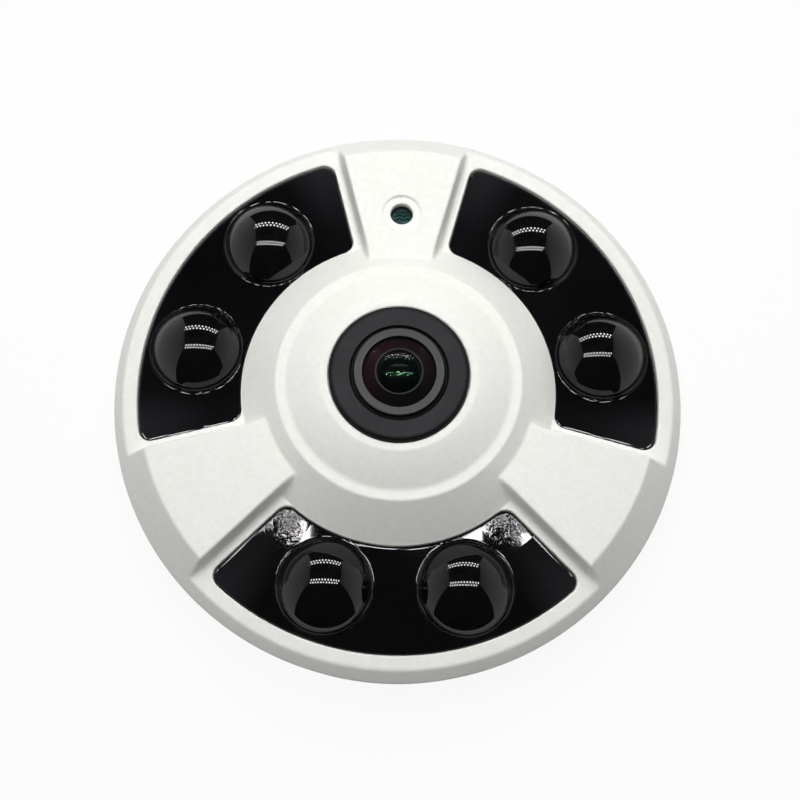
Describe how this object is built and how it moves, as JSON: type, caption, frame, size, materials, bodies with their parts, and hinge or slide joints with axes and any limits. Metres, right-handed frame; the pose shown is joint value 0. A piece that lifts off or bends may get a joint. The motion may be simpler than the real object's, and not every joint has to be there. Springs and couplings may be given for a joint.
{
  "type": "fisheye ip camera",
  "caption": "Round white ceiling camera with a fisheye lens on a domed hub, smoked windows over infrared lamps, a light sensor and a twist-lock ceiling plate.",
  "frame": {"origin": "centre of the face that meets the ceiling", "axes": "+Z along the lens axis, away from the ceiling; +Y towards the light sensor; +X to the right of it as seen from the front"},
  "size_m": [0.148, 0.148, 0.0372],
  "materials": {
    "white_plastic": "fine satin texture",
    "plate_metal": "satin white powder coat",
    "smoked_plastic": "polished, dark smoked",
    "foam": "matte closed foam",
    "seal_rubber": "matte",
    "screw_steel": "bright zinc",
    "lamp_board": "white solder mask on aluminium",
    "lamp_body": "clear resin over a yellow chip",
    "clear_glass": "polished",
    "black_plastic": "fine matte",
    "photocell_face": "lacquered",
    "bezel_plastic": "satin black",
    "lens_metal": "black anodised",
    "ring_metal": "dark grey anodised",
    "coated_glass": "purple and green coating",
    "slider_plastic": "satin",
    "day_glass": "pink infrared cut coating",
    "rotor_plastic": "ivory",
    "magnet": "nickel plated",
    "copper": "lacquered copper wire",
    "yoke_steel": "plain",
    "circuit_board": "green solder mask",
    "sensor_face": "glass over a dark chip",
    "chip": "matte epoxy",
    "heat_silicone": "soft silicone",
    "capacitor_can": "bright",
    "ivory_plastic": "smooth"
  },
  "bodies": {
    "plate": {"mounting_plate": "plate_metal"},
    "camera": {"front_housing": "white_plastic", "rear_cover": "white_plastic", "cover_seal": "seal_rubber", "cover_screws": "screw_steel", "window_top_left": "smoked_plastic", "window_top_right": "smoked_plastic", "window_bottom": "smoked_plastic", "gasket_top_left": "foam", "gasket_top_right": "foam", "gasket_bottom": "foam", "led_board": "lamp_board", "led_board_screws": "screw_steel", "array_led_1": "lamp_body", "array_led_2": "lamp_body", "array_led_3": "lamp_body", "array_led_4": "lamp_body", "array_led_5": "lamp_body", "array_led_6": "lamp_body", "eye_glass": "clear_glass", "eye_holder": "black_plastic", "eye_screws": "screw_steel", "photocell": "photocell_face", "lens_bezel": "bezel_plastic", "bezel_seal": "seal_rubber", "lens_seal": "seal_rubber", "lens_barrel": "lens_metal", "lens_retainer": "ring_metal", "front_element": "coated_glass", "second_element": "coated_glass", "third_element": "coated_glass", "aperture_stop": "black_plastic", "rear_element": "coated_glass", "rear_retainer": "lens_metal", "lens_lock_ring": "lens_metal", "lens_holder": "black_plastic", "holder_screws": "screw_steel", "filter_frame": "black_plastic", "filter_coil": "copper", "coil_yoke": "yoke_steel", "sensor_board": "circuit_board", "image_sensor": "sensor_face", "sensor_board_screws": "screw_steel", "processor": "chip", "heat_pad": "heat_silicone", "power_board": "circuit_board", "power_transformer": "black_plastic", "power_capacitors": "capacitor_can", "cable_header": "ivory_plastic", "power_board_screws": "screw_steel", "cable_grommet": "seal_rubber"},
    "filter": {"filter_slider": "slider_plastic", "day_filter": "day_glass", "night_glass": "clear_glass"},
    "rotor": {"rotor_arm": "rotor_plastic", "rotor_magnet": "magnet"}
  },
  "joints": [
    {"name": "twist_lock", "type": "hinge", "parent": "plate", "child": "camera", "pos_m": [0, 0, 0], "axis": [0, 0, 1], "range_deg": [0, 25]},
    {"name": "rotor_turn", "type": "hinge", "parent": "camera", "child": "rotor", "pos_m": [0, -0.01105, 0.0146], "axis": [0, 0, 1], "range_deg": [0, 80.8]},
    {"name": "filter_slide", "type": "slide", "parent": "camera", "child": "filter", "axis": [-1, 0, 0], "range_m": [0, 0.007]}
  ],
  "couplings": [
    {"joint": "rotor_turn", "follows": "filter_slide", "rad_per_m": 201.46}
  ]
}
